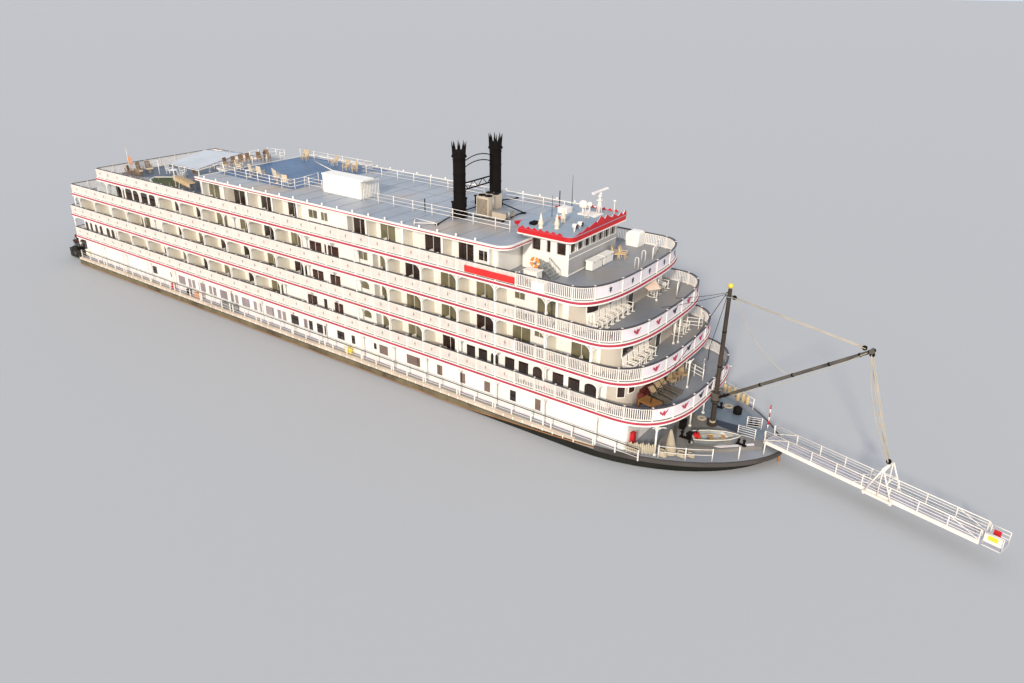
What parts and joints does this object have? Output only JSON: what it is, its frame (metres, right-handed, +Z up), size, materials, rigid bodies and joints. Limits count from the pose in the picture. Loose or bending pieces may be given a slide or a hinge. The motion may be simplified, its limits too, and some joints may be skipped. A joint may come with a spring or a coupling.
{
  "type": "1:10 scale model of a sternwheel paddle boat",
  "caption": "Sternwheel river passenger boat with stacked galleried decks, two crowned chimneys, pilothouse, bow mast with boom, and a swinging landing stage.",
  "frame": {"origin": "on the flat hull bottom, on the centreline, midway between the hull's stern and the bow", "axes": "+X towards the bow, +Y to port, +Z up; the waterline is at z = 0.190 m"},
  "size_m": [10.7103, 1.602, 2.3053],
  "materials": {
    "hull_paint": "weathered dark grey-green hull paint",
    "deck_paint": "matt grey-blue non-slip deck paint with water stains",
    "white_paint": "warm white semi-gloss marine paint",
    "red_paint": "signal red semi-gloss paint",
    "black_paint": "matt black heat-proof paint",
    "beige_paint": "faded beige equipment paint",
    "window_glass": "dark tinted window glass",
    "canvas": "pale blue-grey awning canvas",
    "dark_wood": "dark tarred timber",
    "tan_wood": "weathered tan spar",
    "rope": "tan laid rope",
    "white_metal": "white painted aluminium",
    "grey_metal": "grey weathered aluminium"
  },
  "bodies": {
    "boat": {"hull": "hull_paint", "main_deck": "deck_paint", "foredeck_platform": "deck_paint", "house_1": "white_paint", "house_2": "white_paint", "house_3": "white_paint", "house_4": "white_paint", "house_5": "white_paint", "deck_2": "deck_paint", "deck_3": "deck_paint", "deck_4": "deck_paint", "deck_5": "deck_paint", "railing_2": "white_paint", "railing_3": "white_paint", "railing_4": "white_paint", "railing_5": "white_paint", "sun_deck": "deck_paint", "bow_porch": "white_paint", "main_rail_port": "white_paint", "main_rail_starboard": "white_paint", "bow_rail_port": "white_paint", "bow_rail_starboard": "white_paint", "sun_rail_aft": "white_paint", "sun_rail_port": "white_paint", "sun_rail_starboard": "white_paint", "roof_deckhouse": "white_paint", "cooling_unit": "beige_paint", "pilothouse": "white_paint", "pilothouse_glass": "window_glass", "pilothouse_roof": "red_paint", "radar_mast": "white_paint", "stack_starboard": "black_paint", "stack_port": "black_paint", "stack_bracing": "black_paint", "awning": "canvas", "mast": "dark_wood", "skiff": "grey_metal", "wheel_beam_starboard": "hull_paint", "wheel_beam_port": "hull_paint"},
    "sternwheel": {"paddlewheel": "red_paint"},
    "starboard_rudder": {"rudder_starboard": "hull_paint"},
    "port_rudder": {"rudder_port": "hull_paint"},
    "stage_boom": {"boom": "tan_wood", "topping_lift": "rope", "stage_falls": "rope"},
    "landing_stage": {"stage": "white_metal"},
    "stage_end": {"stage_flap": "white_metal"},
    "radar": {"radar_scanner": "white_paint"}
  },
  "joints": [
    {"name": "wheel_spin", "type": "hinge", "parent": "boat", "child": "sternwheel", "pos_m": [-4.61, 0, 0.265], "axis": [0, 1, 0], "continuous": true},
    {"name": "starboard_steer", "type": "hinge", "parent": "boat", "child": "starboard_rudder", "pos_m": [-4.175, -0.32, 0.07], "axis": [0, 0, 1], "range_deg": [-35, 35]},
    {"name": "port_steer", "type": "hinge", "parent": "boat", "child": "port_rudder", "pos_m": [-4.175, 0.32, 0.07], "axis": [0, 0, 1], "range_deg": [-35, 35]},
    {"name": "boom_swing", "type": "hinge", "parent": "boat", "child": "stage_boom", "pos_m": [3.777, 0, 0.58], "axis": [0, 0, 1], "range_deg": [-35, 35]},
    {"name": "stage_lift", "type": "hinge", "parent": "stage_boom", "child": "landing_stage", "pos_m": [4.22235, 0.0271, 0.34], "axis": [-0.2402, -0.9707, 0], "range_deg": [-8, 25], "deforming": ["stage_falls"]},
    {"name": "flap_hinge", "type": "hinge", "parent": "landing_stage", "child": "stage_end", "pos_m": [5.71726, -0.34285, 0.34], "axis": [-0.2402, -0.9707, 0], "range_deg": [-25, 60]},
    {"name": "radar_spin", "type": "hinge", "parent": "boat", "child": "radar", "pos_m": [2.491, 0.28, 1.9206], "axis": [0, 0, 1], "continuous": true}
  ],
  "couplings": [
    {"joint": "port_steer", "follows": "starboard_steer", "ratio": 1}
  ]
}
